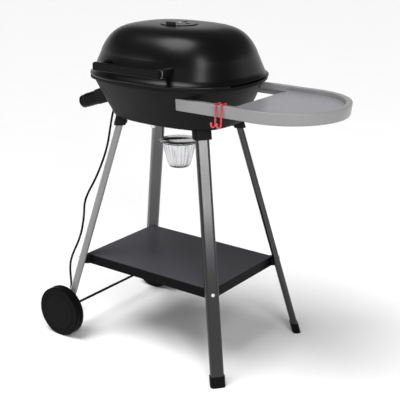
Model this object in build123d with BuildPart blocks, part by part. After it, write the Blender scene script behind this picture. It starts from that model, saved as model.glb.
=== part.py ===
from build123d import *
from math import atan2, cos, degrees, hypot, pi, radians, sin, tan
import os

# Electric kettle grill on a four-legged trolley stand, with a side table.
# Millimetres, +Z up. The origin is on the floor, at the middle of the outline.
# -Y is the front, where the lid handle is. +X is the side table, -X the wheels.
os.makedirs("parts", exist_ok=True)

# ---------------------------------------------------------------- clearances
air = 0.5            # gap between pieces that move past each other
run_gap = 0.05       # radial gap of a shaft in its bore

# ---------------------------------------------------------------- kettle
rim_height = 832.0   # seam between bowl and lid
rim_half_x = 249.0
rim_half_y = 214.0
rim_square = 2.6     # superellipse power that the plan outline follows
shell_wall = 3.0
seam_gap = 0.8
lip_width = 6.0      # how far the lips stand out from the walls
lip_height = 8.0

lid_height = 137.0   # from the top of the lid's lip to the crown
lid_side = 56.0      # height of the lid's plain sloping side
lid_side_x = 0.92    # width and depth kept at the top of that side
lid_side_y = 0.87
lid_round = 6.0      # power of the lid's shoulder
lid_fall = 1.1
crown_share = 0.31   # size of the lid's flat crown

bowl_side = 114.0
bowl_side_x = 0.80
bowl_side_y = 0.66
bowl_square = 3.0
bowl_round = 11.0    # height of the rounded edge at the bowl's bottom
bowl_floor = rim_height - lip_height - bowl_side - bowl_round
drain_radius = 11.0
vent_notch = 8.0     # height of the air gap in the lid's lip at each side
notch_half_y = 92.0

# ---------------------------------------------------------------- stand
foot_half_x = 303.0  # centres of the legs on the floor
foot_half_y = 221.0
splay_x = 0.2231     # how far the legs lean in, for each unit of height
splay_y = 0.186
leg_width = 40.0
leg_depth = 20.0
leg_corner = 8.0
leg_wall = 1.5
socket_drop = 22.0   # how far a leg socket hangs below the bowl
socket_wall = 7.0
cap_height = 30.0
cap_wall = 2.5
cap_sole = 4.0
shelf_length = 480.0
shelf_depth = 330.0
shelf_top = 261.0
shelf_skirt = 30.0
shelf_wall = 1.5
screw_radius = 2.5
screw_head_radius = 5.0
screw_head = 3.0

# ---------------------------------------------------------------- wheels
wheel_radius = 79.0
wheel_width = 32.0
wheel_out = 253.0    # outer face of each wheel from the middle of the stand
wheel_x = 287.0      # wheel centre to stand centre
axle_radius = 4.0
axle_leg_end = 17.0  # how far the left legs run below the axle

# ---------------------------------------------------------------- side table
table_drop = 63.5            # how far the table's underside is below the rim
table_bottom = rim_height - table_drop
table_height = 34.0
table_radius = 178.0         # outer top edge of the rounded end
table_draft = 3.7
table_end_x = 367.0          # centre of the rounded end to kettle centre
table_arm_x = 119.0          # where the arms start
table_rim = 18.0
table_wall = 3.0
ledge_rise = 18.5            # top of the tray's ledge, from the underside
tray_ledge = table_bottom + ledge_rise
tray_thick = 2.5
tray_rise = 5.0
tray_left_x = 275.0
tray_corner = 27.0
plateau_radius = 315.0

# ---------------------------------------------------------------- hooks
hook_wire = 2.4
hook_places = (256.0, 274.0)

# The kettle's centre stands off the origin, so that the table's end and the
# wheels reach equally far.
kettle_x = (wheel_x + wheel_radius - table_end_x - table_radius) / 2
kettle = Plane((kettle_x, 0, 0))


# ================================================================ outline
def kettle_outline(half_x, half_y, square, mode=Mode.ADD):
    """Eight tangent arcs that follow a superellipse: four sides, four corners."""
    share = 0.5 ** (1 / square)
    corner = 0.42 * half_x
    slope = hypot(1 / half_x, 1 / half_y)
    mid_x = share * half_x - corner / half_x / slope
    mid_y = share * half_y - corner / half_y / slope
    gap_y = half_y - mid_y
    gap_x = half_x - mid_x
    long_side = (mid_x**2 + gap_y**2 - corner**2) / (2 * (gap_y - corner))
    short_side = (mid_y**2 + gap_x**2 - corner**2) / (2 * (gap_x - corner))
    turn_long = degrees(atan2(mid_y - half_y + long_side, mid_x))
    turn_short = degrees(atan2(mid_y, mid_x - half_x + short_side))
    with BuildLine() as outline:
        CenterArc((half_x - short_side, 0), short_side, -turn_short, 2 * turn_short)
        CenterArc((mid_x, mid_y), corner, turn_short, turn_long - turn_short)
        CenterArc((0, half_y - long_side), long_side, turn_long, 180 - 2 * turn_long)
        CenterArc((-mid_x, mid_y), corner, 180 - turn_long, turn_long - turn_short)
        CenterArc((short_side - half_x, 0), short_side, 180 - turn_short, 2 * turn_short)
        CenterArc((-mid_x, -mid_y), corner, 180 + turn_short, turn_long - turn_short)
        CenterArc((0, long_side - half_y), long_side, 180 + turn_long, 180 - 2 * turn_long)
        CenterArc((mid_x, -mid_y), corner, 360 - turn_long, turn_long - turn_short)
    make_face(outline.edges(), mode=mode)


def lid_sections(inset):
    """Heights and half sizes of the lid's outside, or of its inside when inset."""
    base = rim_height + lip_height
    full_x = rim_half_x - 1
    full_y = rim_half_y - 1
    rows = []
    for step in (0, 1):
        size_x = full_x * (1 - (1 - lid_side_x) * step)
        size_y = full_y * (1 - (1 - lid_side_y) * step)
        rows.append((base + lid_side * step - inset * step * 0.3, size_x, size_y))
    for share in (0.985, 0.955, 0.915, 0.86, 0.785, 0.68, 0.52, crown_share):
        climb = (1 - share**lid_round) ** (1 / lid_fall)
        height = base + lid_side + (lid_height - lid_side) * climb
        rows.append((height - inset, full_x * lid_side_x * share, full_y * lid_side_y * share))
    return [(z, x - inset, y - inset) for z, x, y in rows]


def bowl_sections(inset):
    """Heights and half sizes of the bowl, from its rim down to its flat floor."""
    base = rim_height - lip_height
    rows = []
    for step in (0, 0.5, 1):
        size_x = (rim_half_x - 3) * (1 - (1 - bowl_side_x) * step)
        size_y = (rim_half_y - 1) * (1 - (1 - bowl_side_y) * step)
        square = rim_square + (bowl_square - rim_square) * step
        rows.append((base - bowl_side * step, size_x, size_y, square))
    low_x = (rim_half_x - 3) * bowl_side_x
    low_y = (rim_half_y - 1) * bowl_side_y
    for turn in (30, 60, 90):
        down = bowl_round * sin(radians(turn))
        side = 2.2 * bowl_round * (1 - cos(radians(turn)))
        rows.append((base - bowl_side - down, low_x - side, low_y - side, bowl_square))
    lift = [0, 0, inset * 0.4, inset * 0.7, inset * 0.9, inset]
    return [(r[0] + up, r[1] - inset, r[2] - inset, r[3]) for r, up in zip(rows, lift)]


# ================================================================ lid
lid_crown = lid_sections(0)[-1][0]
lip_top = rim_height + lip_height
with BuildPart() as lid_form:
    for height, size_x, size_y in lid_sections(0):
        with BuildSketch(kettle.offset(height)):
            kettle_outline(size_x, size_y, rim_square)
    loft(ruled=True)
    with BuildSketch(kettle.offset(rim_height + seam_gap)):
        kettle_outline(rim_half_x + lip_width, rim_half_y + lip_width, rim_square)
    extrude(amount=lip_height - seam_gap + 0.4)

with BuildPart() as lid_hollow:
    for height, size_x, size_y in lid_sections(shell_wall):
        with BuildSketch(kettle.offset(height)):
            kettle_outline(size_x, size_y, rim_square)
    loft(ruled=True)

# handle: a flat bar on two brackets
handle_half = 118.0
handle_rise = 43.0
handle_height = rim_height + handle_rise
handle_tall = 24.0
handle_deep = 13.0
handle_face = 247.0          # front face of the bar
bracket_x = 108.0
bracket_wide = 20.0
handle_screw_z = handle_height

# vent: slots in the crown under a turning disc
vent_radius = 55.0
vent_thick = 1.5
vent_hole = 8.0
vent_ring = 30.0
vent_count = 4
rivet_radius = 3.0

# hinge at the back
hinge_out = 238.0            # pin's distance behind the kettle's centre
hinge_height = rim_height + 4
hinge_pin_radius = 3.0
hinge_places = (-90.0, 90.0)
knuckle_radius = 7.0
lid_knuckle = 20.0
bowl_knuckle = 14.0

with BuildPart() as lid_shell:
    add(lid_form.part)
    add(lid_hollow.part, mode=Mode.SUBTRACT)
    with BuildSketch(kettle.offset(rim_height)):
        kettle_outline(rim_half_x - 1 - shell_wall, rim_half_y - 1 - shell_wall, rim_square)
    extrude(amount=lip_height + 1, mode=Mode.SUBTRACT)
    # air gaps in the lip, at the left and right sides
    for side in (-1, 1):
        with BuildSketch(Plane((kettle_x + side * rim_half_x, 0, rim_height))):
            Rectangle(110, 2 * notch_half_y)
        extrude(amount=vent_notch, mode=Mode.SUBTRACT)
    # vent slots and rivet hole in the crown
    with BuildSketch(kettle.offset(lid_crown - 10)):
        with PolarLocations(vent_ring, vent_count):
            Circle(vent_hole)
        Circle(rivet_radius)
    extrude(amount=20, mode=Mode.SUBTRACT)
    # screw holes for the handle
    for side in (-1, 1):
        with BuildSketch(Plane((kettle_x + side * bracket_x, 0, handle_screw_z), (1, 0, 0), (0, -1, 0))):
            Circle(screw_radius)
        extrude(amount=rim_half_y, mode=Mode.SUBTRACT)
lid_shell.part.label = "lid_shell"
export_step(lid_shell.part, "parts/lid_shell.step")

with BuildPart() as vent_disc:
    with BuildSketch(kettle.offset(lid_crown + air)):
        Circle(vent_radius)
        with PolarLocations(vent_ring, vent_count):
            Circle(vent_hole, mode=Mode.SUBTRACT)
        Circle(rivet_radius + run_gap, mode=Mode.SUBTRACT)
    extrude(amount=vent_thick)
    # raised grip across the disc
    with BuildSketch(Plane((kettle_x, -vent_radius * 0.72, lid_crown + air + vent_thick))):
        SlotOverall(34, 8)
    extrude(amount=7)
    fillet(vent_disc.edges().group_by(Axis.Z)[-1], 2)
vent_disc.part.label = "vent_disc"
export_step(vent_disc.part, "parts/vent_disc.step")

with BuildPart() as vent_rivet:
    with BuildSketch(kettle.offset(lid_crown - shell_wall - 2)):
        Circle(rivet_radius)
    extrude(amount=shell_wall + 2 + 2 * air + vent_thick)
    with BuildSketch(kettle.offset(lid_crown + 2 * air + vent_thick)):
        Circle(2 * rivet_radius)
    extrude(amount=2)
    with BuildSketch(kettle.offset(lid_crown - shell_wall - 2)):
        Circle(2 * rivet_radius)
    extrude(amount=2)
vent_rivet.part.label = "vent_rivet"
export_step(vent_rivet.part, "parts/vent_rivet.step")

with BuildPart() as lid_handle_bar:
    with BuildSketch(Plane((kettle_x, -handle_face, handle_height), (1, 0, 0), (0, -1, 0))):
        RectangleRounded(2 * handle_half, handle_tall, 7)
    extrude(amount=-handle_deep)
    fillet(lid_handle_bar.faces().filter_by(Axis.Y).edges(), 3.5)
lid_handle_bar.part.label = "lid_handle_bar"
export_step(lid_handle_bar.part, "parts/lid_handle_bar.step")

bar_back = handle_face - handle_deep
ferrule_deep = 3.0
with BuildPart() as handle_ferrules:
    for side in (-1, 1):
        centre = (kettle_x + side * bracket_x, -bar_back, handle_height)
        with BuildSketch(Plane(centre, (1, 0, 0), (0, 1, 0))):
            RectangleRounded(bracket_wide + 3, handle_tall - 2, 4)
            Circle(screw_radius, mode=Mode.SUBTRACT)
        extrude(amount=ferrule_deep)
handle_ferrules.part.label = "handle_ferrules"
export_step(handle_ferrules.part, "parts/handle_ferrules.step")

with BuildPart() as lid_handle_brackets:
    for side in (-1, 1):
        centre = (kettle_x + side * bracket_x, -bar_back + ferrule_deep, handle_height)
        with BuildSketch(Plane(centre, (1, 0, 0), (0, 1, 0))):
            RectangleRounded(bracket_wide, handle_tall - 4, 4)
            Circle(screw_radius, mode=Mode.SUBTRACT)
        extrude(amount=80)
    add(lid_form.part, mode=Mode.SUBTRACT)
lid_handle_brackets.part.label = "lid_handle_brackets"
export_step(lid_handle_brackets.part, "parts/lid_handle_brackets.step")

with BuildPart() as handle_screws:
    for side in (-1, 1):
        centre = (kettle_x + side * bracket_x, -bar_back, handle_screw_z)
        with BuildSketch(Plane(centre, (1, 0, 0), (0, 1, 0))):
            Circle(screw_radius)
        extrude(amount=82)
        head = (kettle_x + side * bracket_x, 75 - bar_back, handle_screw_z)
        with BuildSketch(Plane(head, (1, 0, 0), (0, 1, 0))):
            Circle(2 * screw_radius)
        extrude(amount=7)
handle_screws.part.label = "handle_screws"
export_step(handle_screws.part, "parts/handle_screws.step")

# ================================================================ bowl
with BuildPart() as bowl_form:
    for height, size_x, size_y, square in bowl_sections(0):
        with BuildSketch(kettle.offset(height)):
            kettle_outline(size_x, size_y, square)
    loft(ruled=True)
    with BuildSketch(kettle.offset(rim_height - lip_height - 0.4)):
        kettle_outline(rim_half_x + lip_width, rim_half_y + lip_width, rim_square)
    extrude(amount=lip_height + 0.4)

table_top = table_bottom + table_height
arm_inner = table_radius - table_rim
pocket_top = table_top + air
pocket_drop = 97.0
pocket_bottom = rim_height - pocket_drop
with BuildPart() as arm_pockets:
    for side in (-1, 1):
        low = Vector(kettle_x + table_arm_x - air, side * (arm_inner - air), pocket_bottom)
        with BuildSketch(Plane(low)):
            Rectangle(200, 100, align=(Align.MIN, Align.MIN if side > 0 else Align.MAX))
        extrude(amount=pocket_top - pocket_bottom)

with BuildPart() as bowl_hollow:
    for height, size_x, size_y, square in bowl_sections(shell_wall):
        with BuildSketch(kettle.offset(height)):
            kettle_outline(size_x, size_y, square)
    loft(ruled=True)
    for side in (-1, 1):
        low = Vector(
            kettle_x + table_arm_x - air - shell_wall,
            side * (arm_inner - air - shell_wall),
            pocket_bottom - shell_wall,
        )
        with BuildSketch(Plane(low)):
            Rectangle(200, 100, align=(Align.MIN, Align.MIN if side > 0 else Align.MAX))
        extrude(amount=pocket_top - pocket_bottom + 2 * shell_wall, mode=Mode.SUBTRACT)

# controller: it plugs in square to the sloping left wall
control_y = -75.0
control_drop = 75.0
control_z = rim_height - control_drop
control_tilt = 20.0
wall_x = -213.0      # where the controller's axis meets the wall
control_out = Vector(-cos(radians(control_tilt)), 0, -sin(radians(control_tilt)))
control_root = Vector(kettle_x + wall_x, control_y, control_z)
control_axis = Axis(tuple(control_root), tuple(control_out))


def control_plane(reach):
    """A plane square to the controller's axis, that far out from the wall."""
    return Plane(control_root + control_out * reach, x_dir=(0, -1, 0), z_dir=control_out)


# places where things are screwed to the bowl
stud_y = 125.0
stud_radius = 3.0
holder_screw_x = 66.0
table_screw_places = (130.0, 152.0)
table_screw_z = table_top - 10

shroud_wide = 54.0
shroud_tall = 46.0
shroud_long = 31.0
terminal_wide = 34.0
terminal_tall = 22.0
upstand_in = 14.0
upstand_wall = 2.5
upstand_high = 6.0

with BuildPart() as bowl_shell:
    add(bowl_form.part)
    add(arm_pockets.part, mode=Mode.SUBTRACT)
    add(bowl_hollow.part, mode=Mode.SUBTRACT)
    with BuildSketch(kettle.offset(rim_height - lip_height - 1)):
        kettle_outline(rim_half_x - upstand_in, rim_half_y - upstand_in, rim_square)
    extrude(amount=lip_height + 2, mode=Mode.SUBTRACT)
    # upstand inside the lid's lip
    with BuildSketch(kettle.offset(rim_height - 2)):
        outside = upstand_wall - upstand_in
        kettle_outline(rim_half_x + outside, rim_half_y + outside, rim_square)
        kettle_outline(rim_half_x - upstand_in, rim_half_y - upstand_in, rim_square, Mode.SUBTRACT)
    extrude(amount=2 + upstand_high)
    # drain over the drip cup
    with BuildSketch(kettle.offset(bowl_floor - 2)):
        Circle(drain_radius)
    extrude(amount=shell_wall + 4, mode=Mode.SUBTRACT)
    # opening for the heating element's terminals
    with BuildSketch(control_plane(-25)):
        Rectangle(terminal_wide, terminal_tall)
    extrude(amount=40, mode=Mode.SUBTRACT)
    # screw holes in the floor: reflector studs and the drip cup's holder
    with BuildSketch(kettle.offset(bowl_floor - 2)):
        with Locations((0, stud_y), (0, -stud_y)):
            Circle(stud_radius)
        with Locations((holder_screw_x, 0), (-holder_screw_x, 0)):
            Circle(screw_radius)
    extrude(amount=20, mode=Mode.SUBTRACT)
    # screw holes for the side table's arms
    for side in (-1, 1):
        for along in table_screw_places:
            start = (kettle_x + along, side * (arm_inner - 20), table_screw_z)
            with BuildSketch(Plane(start, (1, 0, 0), (0, side, 0))):
                Circle(screw_radius)
            extrude(amount=40, mode=Mode.SUBTRACT)
bowl_shell.part.label = "bowl_shell"
export_step(bowl_shell.part, "parts/bowl_shell.step")

# ================================================================ lid hinge
def hinge_side(along):
    """The plane of a hinge's profile, with Y and Z as its own axes."""
    return Plane((kettle_x + along, 0, 0), x_dir=(0, 1, 0), z_dir=(1, 0, 0))


hinge_gap = 0.5
lug_reach = 184.0    # how far in the hinge lugs start, inside the walls
lid_lug_tall = 22.0
bowl_lug_low = rim_height - 36
with BuildPart() as lid_hinge_leaves:
    for place in hinge_places:
        with BuildSketch(hinge_side(place - lid_knuckle / 2)):
            with BuildLine():
                Polyline(
                    (hinge_out - knuckle_radius, hinge_height - 2),
                    (lug_reach, lip_top + 1.5),
                    (lug_reach, lip_top + lid_lug_tall),
                    (rim_half_y - 10, lip_top + lid_lug_tall),
                    (hinge_out + 5, hinge_height + 4.5),
                    close=True,
                )
            make_face()
            with Locations((hinge_out, hinge_height)):
                Circle(knuckle_radius)
        extrude(amount=lid_knuckle)
    add(lid_form.part, mode=Mode.SUBTRACT)
    for place in hinge_places:
        with BuildSketch(hinge_side(place - lid_knuckle / 2)):
            with Locations((hinge_out, hinge_height)):
                Circle(hinge_pin_radius + run_gap)
        extrude(amount=lid_knuckle, mode=Mode.SUBTRACT)
lid_hinge_leaves.part.label = "lid_hinge_leaves"
export_step(lid_hinge_leaves.part, "parts/lid_hinge_leaves.step")

knuckle_start = lid_knuckle / 2 + hinge_gap
with BuildPart() as bowl_hinge_brackets:
    for place in hinge_places:
        for start in (place + knuckle_start, place - knuckle_start - bowl_knuckle):
            with BuildSketch(hinge_side(start)):
                with BuildLine():
                    Polyline(
                        (hinge_out - knuckle_radius, hinge_height),
                        (rim_half_y + 8, rim_height - 2),
                        (lug_reach - 12, rim_height - 2),
                        (lug_reach - 12, bowl_lug_low),
                        (rim_half_y - 14, bowl_lug_low),
                        (hinge_out + 5, hinge_height - 4.5),
                        close=True,
                    )
                make_face()
                with Locations((hinge_out, hinge_height)):
                    Circle(knuckle_radius)
            extrude(amount=bowl_knuckle)
    add(bowl_form.part, mode=Mode.SUBTRACT)
    for place in hinge_places:
        with BuildSketch(hinge_side(place - knuckle_start - bowl_knuckle)):
            with Locations((hinge_out, hinge_height)):
                Circle(hinge_pin_radius)
        extrude(amount=2 * (knuckle_start + bowl_knuckle), mode=Mode.SUBTRACT)
bowl_hinge_brackets.part.label = "bowl_hinge_brackets"
export_step(bowl_hinge_brackets.part, "parts/bowl_hinge_brackets.step")

pin_half = knuckle_start + bowl_knuckle
pin_head = 2.0
with BuildPart() as hinge_pins:
    for place in hinge_places:
        with BuildSketch(hinge_side(place - pin_half)):
            with Locations((hinge_out, hinge_height)):
                Circle(hinge_pin_radius)
        extrude(amount=2 * pin_half)
        for start in (place - pin_half - pin_head, place + pin_half):
            with BuildSketch(hinge_side(start)):
                with Locations((hinge_out, hinge_height)):
                    Circle(hinge_pin_radius + 2)
            extrude(amount=pin_head)
hinge_pins.part.label = "hinge_pins"
export_step(hinge_pins.part, "parts/hinge_pins.step")

# ================================================================ inside the bowl
element_radius = 4.0
element_rise = 18.0
element_z = control_z + element_rise
element_reach = 52.0     # where the element leaves the controller's axis
terminal_split = 9.0     # each terminal to that axis
terminal_end = 22.0
prong_radius = 2.0
prong_end = 44.0
element_turn = 14.0
turn_point = control_root - control_out * element_reach
start_point = control_root + control_out * terminal_end
element_places = [
    (start_point.X, control_y - terminal_split, start_point.Z),
    (turn_point.X, control_y - terminal_split, element_z),
    (kettle_x - 122, control_y - terminal_split, element_z),
    (kettle_x - 122, -122, element_z),
    (kettle_x + 150, -122, element_z),
    (kettle_x + 150, 118, element_z),
    (kettle_x - 150, 118, element_z),
    (kettle_x - 150, 58, element_z),
    (kettle_x + 105, 58, element_z),
    (kettle_x + 105, -2, element_z),
    (kettle_x - 100, -2, element_z),
    (kettle_x - 100, control_y + terminal_split, element_z),
    (turn_point.X, control_y + terminal_split, element_z),
    (start_point.X, control_y + terminal_split, start_point.Z),
]
with BuildPart() as heating_element:
    with BuildLine() as element_line:
        FilletPolyline(*element_places, radius=element_turn)
    with BuildSketch(Plane(element_line.line @ 0, z_dir=element_line.line % 0)):
        Circle(element_radius)
    sweep()
    # terminal block in the wall's opening
    with BuildSketch(control_plane(-16)):
        RectangleRounded(terminal_wide - 2 * air, terminal_tall - 2 * air, 3)
    extrude(amount=20)
    with BuildSketch(control_plane(terminal_end)):
        with Locations((terminal_split, 0), (-terminal_split, 0)):
            Circle(prong_radius)
    extrude(amount=prong_end - terminal_end)
heating_element.part.label = "heating_element"
export_step(heating_element.part, "parts/heating_element.step")

reflector_rise = 34.0
reflector_z = bowl_floor + reflector_rise
reflector_wall = 1.5
reflector_half_x = 162.0
reflector_half_y = 136.0
reflector_rim = 12.0
clip_places = ((-110.0, 58.0), (85.0, 58.0), (60.0, -122.0))
with BuildPart() as heat_reflector:
    with BuildSketch(kettle.offset(reflector_z)):
        kettle_outline(reflector_half_x, reflector_half_y, bowl_square)
    extrude(amount=reflector_rim)
    with BuildSketch(kettle.offset(reflector_z + reflector_wall)):
        kettle_outline(reflector_half_x - reflector_wall, reflector_half_y - reflector_wall, bowl_square)
    extrude(amount=reflector_rim, mode=Mode.SUBTRACT)
    with BuildSketch(kettle.offset(reflector_z - 1)):
        Circle(drain_radius + 3)
        with Locations((0, stud_y), (0, -stud_y)):
            Circle(stud_radius)
    extrude(amount=reflector_wall + 2, mode=Mode.SUBTRACT)
heat_reflector.part.label = "heat_reflector"
export_step(heat_reflector.part, "parts/heat_reflector.step")

stud_head = 7.0
with BuildPart() as reflector_studs:
    for side in (-1, 1):
        with BuildSketch(kettle.offset(bowl_floor - 5)):
            with Locations((0, side * stud_y)):
                Circle(stud_head)
        extrude(amount=8)
    add(bowl_form.part, mode=Mode.SUBTRACT)
    for side in (-1, 1):
        with BuildSketch(kettle.offset(bowl_floor + 3.2)):
            with Locations((0, side * stud_y)):
                Circle(2 * stud_radius)
        extrude(amount=reflector_z - bowl_floor - 3.2)
    add(bowl_shell.part, mode=Mode.SUBTRACT)
    for side in (-1, 1):
        with BuildSketch(kettle.offset(bowl_floor - 5)):
            with Locations((0, side * stud_y)):
                Circle(stud_radius)
        extrude(amount=reflector_z + reflector_wall + 6 - bowl_floor + 5)
        # nut over the reflector
        with BuildSketch(kettle.offset(reflector_z + reflector_wall)):
            with Locations((0, side * stud_y)):
                RegularPolygon(5.5, 6)
        extrude(amount=4)
reflector_studs.part.label = "reflector_studs"
export_step(reflector_studs.part, "parts/reflector_studs.step")

with BuildPart() as element_clips:
    for place in clip_places:
        with BuildSketch(kettle.offset(reflector_z + reflector_wall)):
            with Locations(place):
                RectangleRounded(14, 14, 3)
        extrude(amount=2)
        with BuildSketch(kettle.offset(reflector_z + reflector_wall)):
            with Locations(place):
                Rectangle(8, 12)
        extrude(amount=element_z - reflector_z - reflector_wall)
    add(heating_element.part, mode=Mode.SUBTRACT)
element_clips.part.label = "element_clips"
export_step(element_clips.part, "parts/element_clips.step")

grate_gap = 0.3
support_top = pocket_top + shell_wall
support_deep = 8.0
with BuildPart() as grate_supports:
    for side in (-1, 1):
        with BuildSketch(kettle.offset(support_top - support_deep)):
            with Locations((side * (rim_half_x - 16), 0)):
                Rectangle(36, 16)
            with Locations((0, side * (rim_half_y - 16))):
                Rectangle(16, 36)
        extrude(amount=support_deep)
    add(bowl_hollow.part, mode=Mode.INTERSECT)
grate_supports.part.label = "grate_supports"
export_step(grate_supports.part, "parts/grate_supports.step")

grate_half_x = 229.0
grate_half_y = 193.0
grate_frame = 6.0
grate_thick = 5.0
grate_bar = 4.0
grate_pitch = 17.0
grate_bars = 27
with BuildPart() as cooking_grate:
    with BuildSketch(kettle.offset(support_top + grate_gap)):
        with GridLocations(grate_pitch, 1, grate_bars, 1):
            Rectangle(grate_bar, 2 * rim_half_y)
        with Locations((0, 110), (0, 0), (0, -110)):
            Rectangle(2 * rim_half_x, grate_bar)
        kettle_outline(
            grate_half_x - grate_frame / 2, grate_half_y - grate_frame / 2, rim_square, Mode.INTERSECT
        )
    extrude(amount=grate_thick)
    with BuildSketch(kettle.offset(support_top + grate_gap)):
        kettle_outline(grate_half_x, grate_half_y, rim_square)
        kettle_outline(grate_half_x - grate_frame, grate_half_y - grate_frame, rim_square, Mode.SUBTRACT)
    extrude(amount=grate_thick)
cooking_grate.part.label = "cooking_grate"
export_step(cooking_grate.part, "parts/cooking_grate.step")

# ================================================================ drip cup
cup_drop = 66.0
cup_rim_z = bowl_floor - cup_drop
cup_flange = 58.5
cup_mouth = 51.5
cup_foot = 25.0
cup_belly = 33.0
cup_deep = 83.0
cup_wall = 1.2
cup_side = Plane((kettle_x, 0, 0), x_dir=(1, 0, 0), z_dir=(0, -1, 0))
cup_low = cup_rim_z - cup_deep
with BuildPart() as drip_cup:
    with BuildSketch(cup_side):
        with BuildLine():
            Polyline(
                (0, cup_low),
                (cup_foot, cup_low),
                (cup_belly, cup_low + 6),
                (cup_mouth, cup_rim_z - cup_wall),
                (cup_flange, cup_rim_z - cup_wall),
                (cup_flange, cup_rim_z),
                (cup_mouth - cup_wall, cup_rim_z),
                (cup_belly - cup_wall, cup_low + 6 + cup_wall),
                (cup_foot - cup_wall, cup_low + cup_wall),
                (0, cup_low + cup_wall),
                close=True,
            )
        make_face()
    revolve(axis=Axis((kettle_x, 0, 0), (0, 0, 1)))
drip_cup.part.label = "drip_cup"
export_step(drip_cup.part, "parts/drip_cup.step")

holder_wire = 2.0
holder_ring = cup_mouth + air + holder_wire + 0.5
holder_z = cup_rim_z - cup_wall - 0.3 - holder_wire
holder_arm = cup_flange + 2.5 + holder_wire
holder_foot = 52.0
holder_plate = 2.5
with BuildPart() as drip_cup_holder:
    with BuildSketch(kettle.offset(holder_z - holder_wire)):
        Circle(holder_ring + holder_wire)
        Circle(holder_ring - holder_wire, mode=Mode.SUBTRACT)
    extrude(amount=2 * holder_wire)
    for side in (-1, 1):
        with BuildLine() as arm_line:
            FilletPolyline(
                (kettle_x + side * holder_ring, 0, holder_z),
                (kettle_x + side * holder_arm, 0, holder_z),
                (kettle_x + side * holder_arm, 0, bowl_floor - 22),
                (kettle_x + side * holder_foot, 0, bowl_floor - holder_plate),
                radius=4,
            )
        with BuildSketch(Plane(arm_line.line @ 0, z_dir=arm_line.line % 0)):
            Circle(holder_wire)
        sweep()
        with BuildSketch(kettle.offset(bowl_floor - holder_plate)):
            with Locations((side * (holder_foot + holder_screw_x) / 2, 0)):
                RectangleRounded(abs(holder_screw_x - holder_foot) + 18, 14, 5)
            with Locations((side * holder_screw_x, 0)):
                Circle(screw_radius, mode=Mode.SUBTRACT)
        extrude(amount=holder_plate)
    split(bisect_by=Plane.XY.offset(bowl_floor), keep=Keep.BOTTOM)
drip_cup_holder.part.label = "drip_cup_holder"
export_step(drip_cup_holder.part, "parts/drip_cup_holder.step")

with BuildPart() as cup_holder_screws:
    for side in (-1, 1):
        with BuildSketch(kettle.offset(bowl_floor - holder_plate - screw_head)):
            with Locations((side * holder_screw_x, 0)):
                Circle(screw_head_radius)
        extrude(amount=screw_head)
        with BuildSketch(kettle.offset(bowl_floor - holder_plate)):
            with Locations((side * holder_screw_x, 0)):
                Circle(screw_radius)
        extrude(amount=holder_plate + shell_wall + 4)
cup_holder_screws.part.label = "cup_holder_screws"
export_step(cup_holder_screws.part, "parts/cup_holder_screws.step")

# ================================================================ controller
with BuildPart() as control_shroud:
    with BuildSketch(control_plane(-20)):
        RectangleRounded(shroud_wide, shroud_tall, 10)
        RectangleRounded(shroud_wide - 14, shroud_tall - 16, 5, mode=Mode.SUBTRACT)
    extrude(amount=20 + shroud_long)
    add(bowl_form.part, mode=Mode.SUBTRACT)
control_shroud.part.label = "control_shroud"
export_step(control_shroud.part, "parts/control_shroud.step")

housing_wide = 50.0
housing_tall = 42.0
housing_long = 56.0
socket_long = 30.0
spindle_radius = 3.0
spindle_long = 12.0
housing_end = shroud_long + housing_long
lamp_reach = shroud_long + 14
lamp_radius = 3.0
with BuildPart() as controller_housing:
    with BuildSketch(control_plane(shroud_long)):
        RectangleRounded(housing_wide, housing_tall, 15)
    extrude(amount=housing_long)
    fillet(controller_housing.faces().sort_by(control_axis)[-1].edges(), 6)
    with BuildSketch(control_plane(shroud_long)):
        RectangleRounded(shroud_wide - 18, shroud_tall - 20, 5)
    extrude(amount=socket_long, mode=Mode.SUBTRACT)
    with BuildSketch(control_plane(housing_end - spindle_long)):
        Circle(spindle_radius + run_gap)
    extrude(amount=spindle_long, mode=Mode.SUBTRACT)
    lamp_place = control_plane(lamp_reach)
    lamp_seat = Plane(lamp_place.origin + lamp_place.y_dir * (housing_tall / 2 - 4), z_dir=lamp_place.y_dir)
    with BuildSketch(lamp_seat):
        Circle(lamp_radius)
    extrude(amount=10, mode=Mode.SUBTRACT)
controller_housing.part.label = "controller_housing"
export_step(controller_housing.part, "parts/controller_housing.step")

with BuildPart() as indicator_lamp:
    with BuildSketch(lamp_seat):
        Circle(lamp_radius)
    extrude(amount=5)
indicator_lamp.part.label = "indicator_lamp"
export_step(indicator_lamp.part, "parts/indicator_lamp.step")

knob_radius = 20.0
knob_long = 22.0
with BuildPart() as temperature_knob:
    with BuildSketch(control_plane(housing_end + air)):
        Circle(knob_radius)
    extrude(amount=knob_long - air)
    fillet(temperature_knob.faces().sort_by(control_axis)[-1].edges(), 3)
    with BuildSketch(control_plane(housing_end - spindle_long + air)):
        Circle(spindle_radius)
    extrude(amount=spindle_long)
temperature_knob.part.label = "temperature_knob"
export_step(temperature_knob.part, "parts/temperature_knob.step")

# ================================================================ mains lead
cord_radius = 3.5
relief_reach = 58.0
relief_long = 22.0
relief_base = 6.5
relief_tip = 4.5
exit_root = control_root + control_out * relief_reach
with BuildPart() as cord_strain_relief:
    relief_start = Vector(exit_root.X, control_y + housing_wide / 2, exit_root.Z)
    with BuildSketch(Plane(relief_start, x_dir=(1, 0, 0), z_dir=(0, 1, 0))):
        Circle(relief_base)
    with BuildSketch(Plane(relief_start + Vector(0, relief_long, 0), x_dir=(1, 0, 0), z_dir=(0, 1, 0))):
        Circle(relief_tip)
    loft(ruled=True)
cord_strain_relief.part.label = "cord_strain_relief"
export_step(cord_strain_relief.part, "parts/cord_strain_relief.step")

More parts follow.
